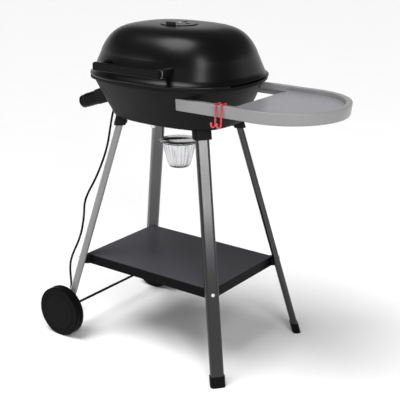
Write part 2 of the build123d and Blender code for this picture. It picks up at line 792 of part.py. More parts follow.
cord_exit = relief_start + Vector(0, relief_long, 0)
cord_places = [
    tuple(cord_exit),
    (-357.0, -4.0, 737.16),
    (-359.0, 18.5, 724.0),
    (-363.5, 28.5, 701.0),
    (-372.5, 23.5, 673.0),
    (-376.0, 14.0, 625.0),
    (-382.5, 3.0, 555.0),
    (-415.5, -14.0, 458.0),
    (-451.5, -37.0, 382.0),
    (-443.5, -50.0, 325.0),
    (-451.5, -61.0, 258.0),
    (-479.5, -78.0, 188.0),
    (-480.5, -88.0, 152.0),
    (-463.0, -101.0, 100.0),
    (-465.0, -104.5, 62.0),
    (-468.5, -111.0, 28.0),
    (-474.0, -123.3, 12.0),
    (-481.0, -141.3, 3.5),
    (-485.5, -158.0, 3.5),
]
cord_radii = []
for before, corner, after in zip(cord_places, cord_places[1:], cord_places[2:]):
    run_in = Vector(*corner) - Vector(*before)
    run_out = Vector(*after) - Vector(*corner)
    half_turn = radians(run_in.get_angle(run_out) / 2)
    cord_radii.append(0.45 * min(run_in.length, run_out.length) / tan(half_turn))
print("cord radii", [round(radius, 1) for radius in cord_radii])
with BuildPart() as mains_cord:
    with BuildLine() as cord_line:
        FilletPolyline(*cord_places, radius=cord_radii)
    with BuildSketch(Plane(cord_line.line @ 0, z_dir=cord_line.line % 0)):
        Circle(cord_radius)
    sweep()
mains_cord.part.label = "mains_cord"
export_step(mains_cord.part, "parts/mains_cord.step")
cord_run = sum(edge.length for edge in cord_line.edges())
print("cord tube", round(cord_run, 1), "mm, volume over section times length",
      round(mains_cord.part.volume / (cord_run * pi * cord_radius**2), 4))

coil_x = -445.0
coil_y = -168.0
coil_inner = 35.0
coil_outer = 42.0
coil_high = 4 * cord_radius
with BuildPart() as cord_coil:
    with BuildSketch(Plane((coil_x, coil_y, 0))):
        Circle(coil_outer + cord_radius)
        Circle(coil_inner - cord_radius, mode=Mode.SUBTRACT)
    extrude(amount=coil_high)
cord_coil.part.label = "cord_coil"
export_step(cord_coil.part, "parts/cord_coil.step")

# the plug lies beside the coil, in line with the lead's last turn
plug_turn = 45.0
plug_radius = 17.0
plug_neck = 30.0     # where the plug's sleeve starts, past the coil
plug_sleeve = 20.0
plug_body = 36.0
plug_pin = 19.0
plug_pin_radius = 2.4
plug_pin_split = 9.5
plug_away = Vector(-sin(radians(plug_turn)), cos(radians(plug_turn)), 0)
plug_root = Vector(coil_x, coil_y, plug_radius)
plug_root += Vector(cos(radians(plug_turn)), sin(radians(plug_turn)), 0) * coil_outer


def plug_plane(reach):
    """A plane square to the plug's axis, that far past the end of the coil."""
    return Plane(plug_root + plug_away * reach, x_dir=(cos(radians(plug_turn)), sin(radians(plug_turn)), 0),
                 z_dir=plug_away)


with BuildPart() as mains_plug:
    with BuildSketch(plug_plane(plug_neck)):
        Circle(relief_tip)
    with BuildSketch(plug_plane(plug_neck + plug_sleeve)):
        Circle(relief_base)
    loft(ruled=True)
    with BuildSketch(plug_plane(plug_neck + plug_sleeve)):
        Circle(plug_radius - 5)
    with BuildSketch(plug_plane(plug_neck + plug_sleeve + plug_body * 0.6)):
        Circle(plug_radius)
    loft(ruled=True)
    with BuildSketch(plug_plane(plug_neck + plug_sleeve + plug_body * 0.6)):
        Circle(plug_radius)
    extrude(amount=plug_body * 0.4)
    with BuildSketch(plug_plane(plug_neck + plug_sleeve + plug_body)):
        with Locations((plug_pin_split, 0), (-plug_pin_split, 0)):
            Circle(plug_pin_radius)
    extrude(amount=plug_pin)
mains_plug.part.label = "mains_plug"
export_step(mains_plug.part, "parts/mains_plug.step")

with BuildPart() as cord_tail:
    tail_start = plug_root + Vector(0, 0, coil_high - cord_radius - plug_radius)
    with BuildLine() as tail_line:
        Polyline(tail_start + plug_away * 12, plug_root + plug_away * plug_neck)
    with BuildSketch(Plane(tail_line.line @ 0, z_dir=tail_line.line % 0)):
        Circle(cord_radius)
    sweep()
cord_tail.part.label = "cord_tail"
export_step(cord_tail.part, "parts/cord_tail.step")


# ================================================================ legs
def leg_plane(side_x, side_y, height=0.0):
    """A plane square to a leg, at that height on its centre line. Its +Y points inward."""
    reach_x = side_x * (foot_half_x - splay_x * height)
    reach_y = side_y * (foot_half_y - splay_y * height)
    along = (-side_x * splay_x, -side_y * splay_y, 1)
    across = (-side_y * splay_y, side_x * splay_x, 0)
    return Plane((kettle_x + reach_x, reach_y, height), x_dir=across, z_dir=along)


def inward_plane(side_x, side_y, height, reach):
    """A plane that faces inward from a leg, that far in from its centre line."""
    base = leg_plane(side_x, side_y, height)
    return Plane(base.origin + base.y_dir * reach, x_dir=base.x_dir, z_dir=base.y_dir)


right_legs = ((1, -1), (1, 1))
left_legs = ((-1, -1), (-1, 1))
all_legs = right_legs + left_legs
leg_half = leg_depth / 2
leg_run_start = -60.0        # legs are drawn longer than they are, then cut level
leg_run = 900.0
leg_top = bowl_floor - 1.0
left_leg_end = wheel_radius - axle_leg_end
socket_screw_z = bowl_floor - socket_drop / 2
shelf_screw_z = shelf_top - 9
shank_hidden = 5.0

for side_x, side_y in all_legs:
    leg_name = "leg_" + ("front_" if side_y < 0 else "rear_") + ("right" if side_x > 0 else "left")
    with BuildPart() as leg:
        with BuildSketch(leg_plane(side_x, side_y, leg_run_start)):
            RectangleRounded(leg_width, leg_depth, leg_corner)
            inner_width = leg_width - 2 * leg_wall
            RectangleRounded(inner_width, leg_depth - 2 * leg_wall, leg_corner - leg_wall, mode=Mode.SUBTRACT)
        extrude(amount=leg_run)
        split(bisect_by=Plane.XY.offset(leg_top), keep=Keep.BOTTOM)
        split(bisect_by=Plane.XY.offset(cap_sole if side_x > 0 else left_leg_end), keep=Keep.TOP)
        with BuildSketch(inward_plane(side_x, side_y, shelf_screw_z, -leg_half)):
            Circle(screw_radius)
        extrude(amount=leg_depth, mode=Mode.SUBTRACT)
        with BuildSketch(inward_plane(side_x, side_y, socket_screw_z, leg_half - shank_hidden)):
            Circle(screw_radius)
        extrude(amount=shank_hidden + 2, mode=Mode.SUBTRACT)
        if side_x < 0:
            axle_start = (kettle_x - wheel_x, side_y * (foot_half_y - 60), wheel_radius)
            with BuildSketch(Plane(axle_start, x_dir=(1, 0, 0), z_dir=(0, side_y, 0))):
                Circle(axle_radius)
            extrude(amount=100, mode=Mode.SUBTRACT)
    leg.part.label = leg_name
    export_step(leg.part, "parts/" + leg_name + ".step")

with BuildPart() as leg_sockets:
    for side_x, side_y in all_legs:
        with BuildSketch(leg_plane(side_x, side_y, bowl_floor - 60)):
            RectangleRounded(leg_width + 2 * socket_wall, leg_depth + 2 * socket_wall, leg_corner + 4)
            RectangleRounded(leg_width, leg_depth, leg_corner, mode=Mode.SUBTRACT)
        extrude(amount=90)
    split(bisect_by=Plane.XY.offset(bowl_floor - socket_drop), keep=Keep.TOP)
    split(bisect_by=Plane.XY.offset(bowl_floor + bowl_round), keep=Keep.BOTTOM)
    add(bowl_form.part, mode=Mode.SUBTRACT)
    for side_x, side_y in all_legs:
        with BuildSketch(inward_plane(side_x, side_y, socket_screw_z, leg_half - 1)):
            Circle(screw_radius)
        extrude(amount=socket_wall + 3, mode=Mode.SUBTRACT)
leg_sockets.part.label = "leg_sockets"
export_step(leg_sockets.part, "parts/leg_sockets.step")

with BuildPart() as socket_screws:
    for side_x, side_y in all_legs:
        with BuildSketch(inward_plane(side_x, side_y, socket_screw_z, leg_half - shank_hidden)):
            Circle(screw_radius)
        extrude(amount=shank_hidden + socket_wall)
        with BuildSketch(inward_plane(side_x, side_y, socket_screw_z, leg_half + socket_wall)):
            Circle(screw_head_radius)
        extrude(amount=screw_head)
socket_screws.part.label = "socket_screws"
export_step(socket_screws.part, "parts/socket_screws.step")

with BuildPart() as cap_space:
    for side_x, side_y in right_legs:
        with BuildSketch(leg_plane(side_x, side_y, leg_run_start)):
            RectangleRounded(leg_width, leg_depth, leg_corner)
        extrude(amount=200)
    split(bisect_by=Plane.XY.offset(cap_sole), keep=Keep.TOP)

with BuildPart() as foot_caps:
    for side_x, side_y in right_legs:
        with BuildSketch(leg_plane(side_x, side_y, leg_run_start)):
            RectangleRounded(leg_width + 2 * cap_wall, leg_depth + 2 * cap_wall, leg_corner + cap_wall)
        extrude(amount=200)
    split(bisect_by=Plane.XY.offset(cap_height), keep=Keep.BOTTOM)
    split(bisect_by=Plane.XY, keep=Keep.TOP)
    add(cap_space.part, mode=Mode.SUBTRACT)
foot_caps.part.label = "foot_caps"
export_step(foot_caps.part, "parts/foot_caps.step")

plug_flange = 3.0
plug_depth = 10.0
with BuildPart() as plug_flanges:
    for side_x, side_y in left_legs:
        with BuildSketch(leg_plane(side_x, side_y, leg_run_start)):
            RectangleRounded(leg_width, leg_depth, leg_corner)
        extrude(amount=200)
    split(bisect_by=Plane.XY.offset(left_leg_end), keep=Keep.BOTTOM)
    split(bisect_by=Plane.XY.offset(left_leg_end - plug_flange), keep=Keep.TOP)

with BuildPart() as leg_end_plugs:
    for side_x, side_y in left_legs:
        with BuildSketch(leg_plane(side_x, side_y, leg_run_start)):
            RectangleRounded(leg_width - 2 * leg_wall, leg_depth - 2 * leg_wall, leg_corner - leg_wall)
        extrude(amount=200)
    split(bisect_by=Plane.XY.offset(left_leg_end + plug_depth), keep=Keep.BOTTOM)
    split(bisect_by=Plane.XY.offset(left_leg_end), keep=Keep.TOP)
    add(plug_flanges.part)
leg_end_plugs.part.label = "leg_end_plugs"
export_step(leg_end_plugs.part, "parts/leg_end_plugs.step")

# ================================================================ shelf
shelf_low = shelf_top - shelf_skirt
gusset_wide = 16.0
gusset_deep = 16.0
with BuildPart() as shelf_space:
    with BuildSketch(kettle.offset(shelf_low)):
        Rectangle(shelf_length - 2 * shelf_wall, shelf_depth - 2 * shelf_wall)
    extrude(amount=shelf_skirt - shelf_wall)
    for side_x, side_y in all_legs:
        with BuildSketch(inward_plane(side_x, side_y, shelf_top, leg_half + shelf_wall)):
            Rectangle(200, 200)
        extrude(amount=-60, mode=Mode.SUBTRACT)

with BuildPart() as gussets:
    for side_x, side_y in all_legs:
        with BuildSketch(leg_plane(side_x, side_y, shelf_low - 30)):
            with Locations((0, leg_half + gusset_deep / 2)):
                Rectangle(gusset_wide, gusset_deep)
        extrude(amount=90)
    split(bisect_by=Plane.XY.offset(shelf_top - shelf_wall), keep=Keep.BOTTOM)
    split(bisect_by=Plane.XY.offset(shelf_low), keep=Keep.TOP)

with BuildPart() as shelf:
    with BuildSketch(kettle.offset(shelf_low)):
        Rectangle(shelf_length, shelf_depth)
    extrude(amount=shelf_skirt)
    for side_x, side_y in all_legs:
        with BuildSketch(inward_plane(side_x, side_y, shelf_top, leg_half)):
            Rectangle(200, 200)
        extrude(amount=-60, mode=Mode.SUBTRACT)
    fillet(shelf.edges().group_by(Axis.Z)[-1], 2)
    add(shelf_space.part, mode=Mode.SUBTRACT)
    add(gussets.part)
    for side_x, side_y in all_legs:
        with BuildSketch(inward_plane(side_x, side_y, shelf_screw_z, leg_half - 1)):
            Circle(screw_radius)
        extrude(amount=1 + gusset_deep - 4, mode=Mode.SUBTRACT)
shelf.part.label = "shelf"
export_step(shelf.part, "parts/shelf.step")

with BuildPart() as shelf_screws:
    for side_x, side_y in all_legs:
        with BuildSketch(inward_plane(side_x, side_y, shelf_screw_z, -leg_half)):
            Circle(screw_radius)
        extrude(amount=leg_depth + gusset_deep - 4)
        with BuildSketch(inward_plane(side_x, side_y, shelf_screw_z, -leg_half - screw_head)):
            Circle(screw_head_radius)
        extrude(amount=screw_head)
shelf_screws.part.label = "shelf_screws"
export_step(shelf_screws.part, "parts/shelf_screws.step")

# ================================================================ wheels
wheel_in = wheel_out - wheel_width
web_in = 20.0        # distances out from the wheel's inner face
web_out = 24.0
hub_in = 13.0
hub_radius = 15.0
rim_bore = 58.0
dish_bore = 54.0
groove_deep = 3.0
groove_half = 1.5
groove_middle = wheel_width / 2
tread_round = 2.0
nut_thick = 2.7
nut_radius = 9.0
cap_disc = 3.0
cap_ring_out = 55.0
cap_ring_in = 52.0

with BuildPart() as axle:
    axle_half = wheel_out - cap_disc - 1.0
    with BuildSketch(Plane((kettle_x - wheel_x, -axle_half, wheel_radius), x_dir=(1, 0, 0), z_dir=(0, 1, 0))):
        Circle(axle_radius)
    extrude(amount=2 * axle_half)
axle.part.label = "axle"
export_step(axle.part, "parts/axle.step")

with BuildPart() as axle_push_nuts:
    for side in (-1, 1):
        nut_start = (kettle_x - wheel_x, side * (wheel_in + web_out + 0.3), wheel_radius)
        with BuildSketch(Plane(nut_start, x_dir=(1, 0, 0), z_dir=(0, side, 0))):
            Circle(nut_radius)
            Circle(axle_radius, mode=Mode.SUBTRACT)
        extrude(amount=nut_thick)
axle_push_nuts.part.label = "axle_push_nuts"
export_step(axle_push_nuts.part, "parts/axle_push_nuts.step")

wheel_axis = Axis((kettle_x - wheel_x, 0, wheel_radius), (0, 1, 0))
wheel_profile = [
    (hub_in, axle_radius + run_gap),
    (web_out, axle_radius + run_gap),
    (web_out, rim_bore),
    (wheel_width, rim_bore),
    (wheel_width, wheel_radius - tread_round),
    (wheel_width - tread_round, wheel_radius),
    (groove_middle + groove_half, wheel_radius),
    (groove_middle + groove_half, wheel_radius - groove_deep),
    (groove_middle - groove_half, wheel_radius - groove_deep),
    (groove_middle - groove_half, wheel_radius),
    (tread_round, wheel_radius),
    (0, wheel_radius - tread_round),
    (0, rim_bore + 4),
    (web_in, dish_bore),
    (web_in, hub_radius + 3),
    (hub_in, hub_radius),
]
for side, end_name in ((-1, "front"), (1, "rear")):
    wheel_face = Plane((kettle_x - wheel_x, 0, wheel_radius), x_dir=(0, side, 0), z_dir=(side, 0, 0))
    with BuildPart() as wheel:
        with BuildSketch(wheel_face):
            with BuildLine():
                Polyline(*[(wheel_in + out, radius) for out, radius in wheel_profile], close=True)
            make_face()
        revolve(axis=wheel_axis)
    wheel.part.label = "wheel_" + end_name
    export_step(wheel.part, "parts/wheel_" + end_name + ".step")

    with BuildPart() as hub_cap:
        cap_in = wheel_out - cap_disc
        with BuildSketch(Plane((kettle_x - wheel_x, side * cap_in, wheel_radius), (1, 0, 0), (0, side, 0))):
            Circle(rim_bore - 0.3)
        extrude(amount=cap_disc)
        ring_in = wheel_in + web_out
        with BuildSketch(Plane((kettle_x - wheel_x, side * ring_in, wheel_radius), (1, 0, 0), (0, side, 0))):
            Circle(cap_ring_out)
            Circle(cap_ring_in, mode=Mode.SUBTRACT)
        extrude(amount=cap_in - ring_in)
    hub_cap.part.label = "hub_cap_" + end_name
    export_step(hub_cap.part, "parts/hub_cap_" + end_name + ".step")


# ================================================================ side table
def table_outline(radius, start, mode=Mode.ADD):
    """Two straight sides and a half round at the right, from that start in X."""
    with BuildLine() as outline:
        Line((start, -radius), (table_end_x, -radius))
        CenterArc((table_end_x, 0), radius, -90, 180)
        Line((table_end_x, radius), (start, radius))
        Line((start, radius), (start, -radius))
    make_face(outline.edges(), mode=mode)


ledge_width = 10.0
ledge_thick = 3.0
ledge_start = tray_left_x - 3
ledge_low = tray_ledge - ledge_thick
channel_top = table_top - table_wall
draft_at_channel = table_draft * table_wall / table_height
with BuildPart() as table_channel:
    with BuildSketch(kettle.offset(table_bottom)):
        table_outline(table_radius - table_draft - table_wall, table_arm_x - 5)
    with BuildSketch(kettle.offset(channel_top)):
        table_outline(table_radius - draft_at_channel - table_wall, table_arm_x - 5)
    loft(ruled=True)
    with BuildSketch(kettle.offset(table_bottom)):
        table_outline(arm_inner + table_wall, table_arm_x - 10)
    extrude(amount=table_height, mode=Mode.SUBTRACT)

with BuildPart() as table_frame:
    with BuildSketch(kettle.offset(table_bottom)):
        table_outline(table_radius - table_draft, table_arm_x)
    with BuildSketch(kettle.offset(table_top)):
        table_outline(table_radius, table_arm_x)
    loft(ruled=True)
    with BuildSketch(kettle.offset(table_bottom - 1)):
        table_outline(arm_inner - ledge_width, table_arm_x - 5)
    extrude(amount=table_height + 2, mode=Mode.SUBTRACT)
    with BuildSketch(kettle.offset(tray_ledge)):
        table_outline(arm_inner, table_arm_x - 5)
    extrude(amount=table_height, mode=Mode.SUBTRACT)
    with BuildSketch(kettle.offset(table_bottom - 1)):
        table_outline(arm_inner + table_wall, table_arm_x - 5)
    extrude(amount=ledge_low - table_bottom + 1, mode=Mode.SUBTRACT)
    # the arms have no ledge beside the bowl
    with BuildSketch(kettle.offset(ledge_low - 1)):
        with Locations((table_arm_x - 5, 0)):
            Rectangle(ledge_start - table_arm_x + 5, 2 * arm_inner, align=(Align.MIN, Align.CENTER))
    extrude(amount=ledge_thick + 2, mode=Mode.SUBTRACT)
    add(table_channel.part, mode=Mode.SUBTRACT)
    for side in (-1, 1):
        for along in table_screw_places:
            start = (kettle_x + along, side * (arm_inner - 20), table_screw_z)
            with BuildSketch(Plane(start, (1, 0, 0), (0, side, 0))):
                Circle(screw_radius)
            extrude(amount=20 + table_wall + 2, mode=Mode.SUBTRACT)
table_frame.part.label = "table_frame"
export_step(table_frame.part, "parts/table_frame.step")

screw_inside = arm_inner - air - shell_wall
with BuildPart() as table_screws:
    for side in (-1, 1):
        for along in table_screw_places:
            start = (kettle_x + along, side * screw_inside, table_screw_z)
            with BuildSketch(Plane(start, (1, 0, 0), (0, side, 0))):
                Circle(screw_radius)
            extrude(amount=shell_wall + air + table_wall + 4)
            with BuildSketch(Plane(start, (1, 0, 0), (0, side, 0))):
                Circle(screw_head_radius)
            extrude(amount=-screw_head)
table_screws.part.label = "table_screws"
export_step(table_screws.part, "parts/table_screws.step")

tray_half = arm_inner - air
groove = 9.0         # the shallow channel that runs round the tray's plateau
plateau_half = tray_half - groove
with BuildPart() as table_tray:
    with BuildSketch(kettle.offset(tray_ledge)):
        with BuildLine():
            Line((tray_left_x, -tray_half + tray_corner + 7), (tray_left_x + tray_corner, -tray_half))
            Line((tray_left_x + tray_corner, -tray_half), (table_end_x, -tray_half))
            CenterArc((table_end_x, 0), tray_half, -90, 180)
            Line((table_end_x, tray_half), (tray_left_x + tray_corner, tray_half))
            Line((tray_left_x + tray_corner, tray_half), (tray_left_x, tray_half - tray_corner - 7))
            Line((tray_left_x, tray_half - tray_corner - 7), (tray_left_x, -tray_half + tray_corner + 7))
        make_face()
    extrude(amount=tray_thick)
    with BuildSketch(kettle.offset(tray_ledge)):
        table_outline(plateau_half, tray_left_x)
        Circle(plateau_radius, mode=Mode.SUBTRACT)
    extrude(amount=tray_rise)
    with BuildSketch(kettle.offset(tray_ledge)):
        table_outline(plateau_half - tray_thick, tray_left_x)
        Circle(plateau_radius + tray_thick, mode=Mode.SUBTRACT)
    extrude(amount=tray_rise - tray_thick, mode=Mode.SUBTRACT)
table_tray.part.label = "table_tray"
export_step(table_tray.part, "parts/table_tray.step")

# ================================================================ tool hooks
hook_gap = 0.4
hook_off = hook_gap + hook_wire
hook_drop = 22.5
hook_low = table_bottom - hook_drop
hook_out = 200.0
tip_rise = 10.0
hook_tip = hook_low + tip_rise
for place, place_name in zip(hook_places, ("left", "right")):
    along = kettle_x + place
    with BuildPart() as tool_hook:
        with BuildLine() as hook_line:
            FilletPolyline(
                (along, hook_off - arm_inner, tray_ledge + 8),
                (along, hook_off - arm_inner, table_top + hook_off),
                (along, -table_radius - hook_off, table_top + hook_off),
                (along, -table_radius - hook_off, hook_low),
                (along, -hook_out, hook_low),
                (along, -hook_out, hook_tip),
                radius=[3, 3, 7, 7],
            )
        with BuildSketch(Plane(hook_line.line @ 0, z_dir=hook_line.line % 0)):
            Circle(hook_wire)
        sweep()
        with Locations((along, -hook_out, hook_tip)):
            Sphere(hook_wire + 1.4)
    tool_hook.part.label = "tool_hook_" + place_name
    export_step(tool_hook.part, "parts/tool_hook_" + place_name + ".step")
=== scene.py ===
import math

import bmesh
import bpy
from mathutils import Matrix, Vector


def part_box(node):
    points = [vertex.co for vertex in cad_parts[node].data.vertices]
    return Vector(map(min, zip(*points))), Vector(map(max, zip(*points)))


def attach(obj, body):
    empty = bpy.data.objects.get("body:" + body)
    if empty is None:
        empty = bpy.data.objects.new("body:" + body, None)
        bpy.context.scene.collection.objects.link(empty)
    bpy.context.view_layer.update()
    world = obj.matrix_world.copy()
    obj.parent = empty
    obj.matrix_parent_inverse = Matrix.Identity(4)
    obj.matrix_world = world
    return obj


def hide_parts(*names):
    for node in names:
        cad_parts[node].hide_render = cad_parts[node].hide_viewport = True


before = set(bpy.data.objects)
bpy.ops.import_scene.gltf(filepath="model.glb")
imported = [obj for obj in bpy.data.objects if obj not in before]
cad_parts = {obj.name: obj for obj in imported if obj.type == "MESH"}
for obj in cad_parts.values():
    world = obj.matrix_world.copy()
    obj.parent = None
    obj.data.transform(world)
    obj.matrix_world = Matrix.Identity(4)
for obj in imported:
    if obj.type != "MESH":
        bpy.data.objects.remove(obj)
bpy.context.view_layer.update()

# ------------------------------------------------------------------ camera
# One long lens, as in a catalogue studio: from the front and the right, and from
# well above the rim of the kettle, so that the shelf and the table's top show.
eye = Vector((1.5218, -2.1317, 1.3240))
yaw, pitch, roll = math.radians(35.73), math.radians(18.29), math.radians(0.38)
ahead = Vector((-math.sin(yaw) * math.cos(pitch), math.cos(yaw) * math.cos(pitch), -math.sin(pitch)))
level = Vector((math.cos(yaw), math.sin(yaw), 0))
upward = level.cross(ahead)
camera_right = level * math.cos(roll) + upward * math.sin(roll)
camera_up = upward * math.cos(roll) - level * math.sin(roll)
camera_data = bpy.data.cameras.new("camera")
camera_data.lens = 82.53
camera_data.sensor_width = 36.0
camera = bpy.data.objects.new("camera", camera_data)
bpy.context.scene.collection.objects.link(camera)
turned = Matrix((camera_right, camera_up, -ahead)).transposed().to_4x4()
camera.matrix_world = Matrix.Translation(eye) @ turned
bpy.context.scene.camera = camera
bpy.context.scene.view_settings.view_transform = "Standard"


# ------------------------------------------------------------------ mains lead
# A 7 mm rubber-sheathed lead. It leaves the controller through a short tapered
# sleeve, hangs down beside the left legs, and is wound up behind the front wheel.
def shader(name, colour, roughness, metallic=0.0, coat=0.0, spread=0.12, grain=300.0, bump=0.02, patch=6.0,
           shine=0.5):
    """A painted, moulded or metal surface: its colour and gloss drift a little, and it has a fine grain."""
    material = bpy.data.materials.new(name)
    material.use_nodes = True
    nodes = material.node_tree.nodes
    links = material.node_tree.links
    surface = nodes["Principled BSDF"]
    surface.inputs["Metallic"].default_value = metallic
    surface.inputs["Coat Weight"].default_value = coat
    surface.inputs["Coat Roughness"].default_value = 0.12
    surface.inputs["Specular IOR Level"].default_value = shine
    where = nodes.new("ShaderNodeTexCoord")
    cloud = nodes.new("ShaderNodeTexNoise")
    cloud.inputs["Scale"].default_value = patch
    cloud.inputs["Detail"].default_value = 5.0
    links.new(where.outputs["Object"], cloud.inputs["Vector"])
    tint = nodes.new("ShaderNodeValToRGB")
    tint.color_ramp.elements[0].position = 0.3
    tint.color_ramp.elements[1].position = 0.7
    tint.color_ramp.elements[0].color = (*[part * (1 - spread) for part in colour], 1)
    tint.color_ramp.elements[1].color = (*[min(1, part * (1 + spread)) for part in colour], 1)
    links.new(cloud.outputs["Fac"], tint.inputs["Fac"])
    links.new(tint.outputs["Color"], surface.inputs["Base Color"])
    gloss = nodes.new("ShaderNodeMapRange")
    gloss.inputs["To Min"].default_value = max(0.02, roughness - 0.05)
    gloss.inputs["To Max"].default_value = min(1, roughness + 0.05)
    links.new(cloud.outputs["Fac"], gloss.inputs["Value"])
    links.new(gloss.outputs["Result"], surface.inputs["Roughness"])
    fine = nodes.new("ShaderNodeTexNoise")
    fine.inputs["Scale"].default_value = grain
    fine.inputs["Detail"].default_value = 3.0
    links.new(where.outputs["Object"], fine.inputs["Vector"])
    relief = nodes.new("ShaderNodeBump")
    relief.inputs["Strength"].default_value = bump
    relief.inputs["Distance"].default_value = 0.001
    links.new(fine.outputs["Fac"], relief.inputs["Height"])
    links.new(relief.outputs["Normal"], surface.inputs["Normal"])
    return material


def dress(material, *names, edge=0.0):
    """Gives that material to CAD nodes, and rounds their sharp edges by that much."""
    for name in names:
        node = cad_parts[name]
        node.data.materials.clear()
        node.data.materials.append(material)
        if edge:
            join = node.modifiers.new("join", "WELD")
            join.merge_threshold = 0.00002
            soften = node.modifiers.new("soften", "BEVEL")
            soften.width = edge
            soften.segments = 3
            soften.limit_method = "ANGLE"
            soften.angle_limit = math.radians(40)
            soften.harden_normals = True


sheath = shader("lead_rubber", (0.003, 0.003, 0.003), 0.45, grain=500.0, bump=0.04, shine=0.15)
lead_route = [
    (-0.3570, -0.0280, 0.73716), (-0.3570, -0.0040, 0.73716), (-0.3590, 0.0185, 0.7240),
    (-0.3635, 0.0285, 0.7010), (-0.3725, 0.0235, 0.6730), (-0.3760, 0.0140, 0.6250),
    (-0.3825, 0.0030, 0.5550), (-0.4155, -0.0140, 0.4580), (-0.4515, -0.0370, 0.3820),
    (-0.4435, -0.0500, 0.3250), (-0.4515, -0.0610, 0.2580), (-0.4795, -0.0780, 0.1880),
    (-0.4805, -0.0880, 0.1520), (-0.4630, -0.1010, 0.1000), (-0.4650, -0.1045, 0.0620),
    (-0.4685, -0.1110, 0.0280), (-0.4740, -0.1233, 0.0120), (-0.4810, -0.1413, 0.0035),
    (-0.4855, -0.1580, 0.0035),
]
lead_radius = 0.0035
full_turn = math.tau
coil_low, coil_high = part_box("cord_coil")
coil_middle = (coil_low + coil_high) / 2
coil_from = math.radians(166.1)
plug_turn = math.radians(45)
coil_to = plug_turn + 4 * full_turn
steps_per_turn = 14
coil_steps = int((coil_to - coil_from) / full_turn * steps_per_turn)
wide, narrow = 0.0424, 0.0354
low_turn, high_turn = lead_radius, 3 * lead_radius
turn_sizes = [(wide, low_turn), (narrow, low_turn), (narrow, high_turn), (wide, high_turn)]
change_share = 0.25
for step in range(1, coil_steps + 1):
    share = step / coil_steps
    angle = coil_from + (coil_to - coil_from) * share
    turn = (angle - coil_from) / full_turn
    now = turn_sizes[int(turn)]
    before = turn_sizes[max(0, int(turn) - 1)]
    ease = min(1.0, (turn - int(turn)) / change_share)
    reach = before[0] + (now[0] - before[0]) * ease
    height = before[1] + (now[1] - before[1]) * ease
    aside, along = reach * math.cos(angle), reach * math.sin(angle)
    lead_route.append((coil_middle.x + aside, coil_middle.y + along, height))
last_turn = 0.042
plug_neck = (0.030, 0.017)
plug_away = Vector((-math.sin(plug_turn), math.cos(plug_turn), 0))
coil_end = Vector((coil_middle.x, coil_middle.y, 0))
coil_end += Vector((math.cos(plug_turn), math.sin(plug_turn), 0)) * last_turn
for reach, height in ((0.011, 0.0112), (0.021, 0.0145), plug_neck):
    lead_route.append(tuple(coil_end + plug_away * reach + Vector((0, 0, height))))

lead_curve = bpy.data.curves.new("mains_lead", "CURVE")
lead_curve.dimensions = "3D"
lead_line = lead_curve.splines.new("NURBS")
lead_line.points.add(len(lead_route) - 1)
for control, place in zip(lead_line.points, lead_route):
    control.co = (*place, 1)
lead_line.order_u = 3
lead_line.use_endpoint_u = True
lead_line.resolution_u = 8
lead_curve.bevel_depth = lead_radius
lead_curve.bevel_resolution = 5
lead_curve.use_fill_caps = True
lead_curve.materials.append(sheath)
lead = bpy.data.objects.new("mains_lead", lead_curve)
bpy.context.scene.collection.objects.link(lead)
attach(lead, "stand")
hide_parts("mains_cord", "cord_coil", "cord_tail")
plug_plastic = shader("plug_plastic", (0.004, 0.004, 0.004), 0.4, grain=700.0, bump=0.05, shine=0.15)
dress(plug_plastic, "mains_plug")
dress(sheath, "cord_strain_relief")

# ------------------------------------------------------------------ studio
# A white floor, pale walls round it and a dim ceiling with a broad soft light. Two
# soft boxes at the right mirror in the lid's corner and in the front leg.
floor_reach = 14
floor_mesh = bpy.data.meshes.new("floor")
floor_bm = bmesh.new()
bmesh.ops.create_grid(floor_bm, x_segments=1, y_segments=1, size=floor_reach)
floor_bm.to_mesh(floor_mesh)
floor_bm.free()
floor = bpy.data.objects.new("floor", floor_mesh)
bpy.context.scene.collection.objects.link(floor)
floor_mesh.materials.append(shader("floor_paper", (0.93, 0.93, 0.93), 0.75, spread=0.005, bump=0.0))

world = bpy.data.worlds.new("studio")
bpy.context.scene.world = world
world.use_nodes = True
world_nodes = world.node_tree.nodes
toward = world_nodes.new("ShaderNodeTexCoord")
toward_parts = world_nodes.new("ShaderNodeSeparateXYZ")
walls = world_nodes.new("ShaderNodeValToRGB")
walls.color_ramp.elements[0].position = 0.14
walls.color_ramp.elements[0].color = (1, 1, 1, 1)
walls.color_ramp.elements[1].position = 0.34
walls.color_ramp.elements[1].color = (0.12, 0.12, 0.12, 1)
world.node_tree.links.new(toward.outputs["Generated"], toward_parts.inputs["Vector"])
world.node_tree.links.new(toward_parts.outputs["Z"], walls.inputs["Fac"])
world.node_tree.links.new(walls.outputs["Color"], world_nodes["Background"].inputs["Color"])
world_nodes["Background"].inputs["Strength"].default_value = 1.0


def soft_box(name, place, aim, width, height, power):
    """A rectangular soft light at that place, turned to that aim."""
    light = bpy.data.lights.new(name, "AREA")
    light.shape = "RECTANGLE"
    light.size = width
    light.size_y = height
    light.energy = power
    lamp = bpy.data.objects.new(name, light)
    bpy.context.scene.collection.objects.link(lamp)
    lamp.location = place
    lamp.rotation_mode = "QUATERNION"
    lamp.rotation_quaternion = (Vector(aim) - Vector(place)).to_track_quat("-Z", "Y")


sky_data = bpy.data.lights.new("ceiling", "SUN")
sky_data.energy = 2.95
sky_data.angle = math.radians(40)
sky = bpy.data.objects.new("ceiling", sky_data)
bpy.context.scene.collection.objects.link(sky)
sky.rotation_euler = (math.radians(18), math.radians(-12), 0)
soft_box("front_box", (2.15, -1.95, 2.35), (0.05, -0.15, 0.75), 0.85, 1.7, 42)
soft_box("right_box", (2.78, -1.42, 1.50), (0.09, -0.11, 0.6), 0.35, 0.90, 15)
soft_box("left_fill", (-1.9, -2.4, 1.2), (0, -0.2, 0.6), 0.3, 1.2, 7)

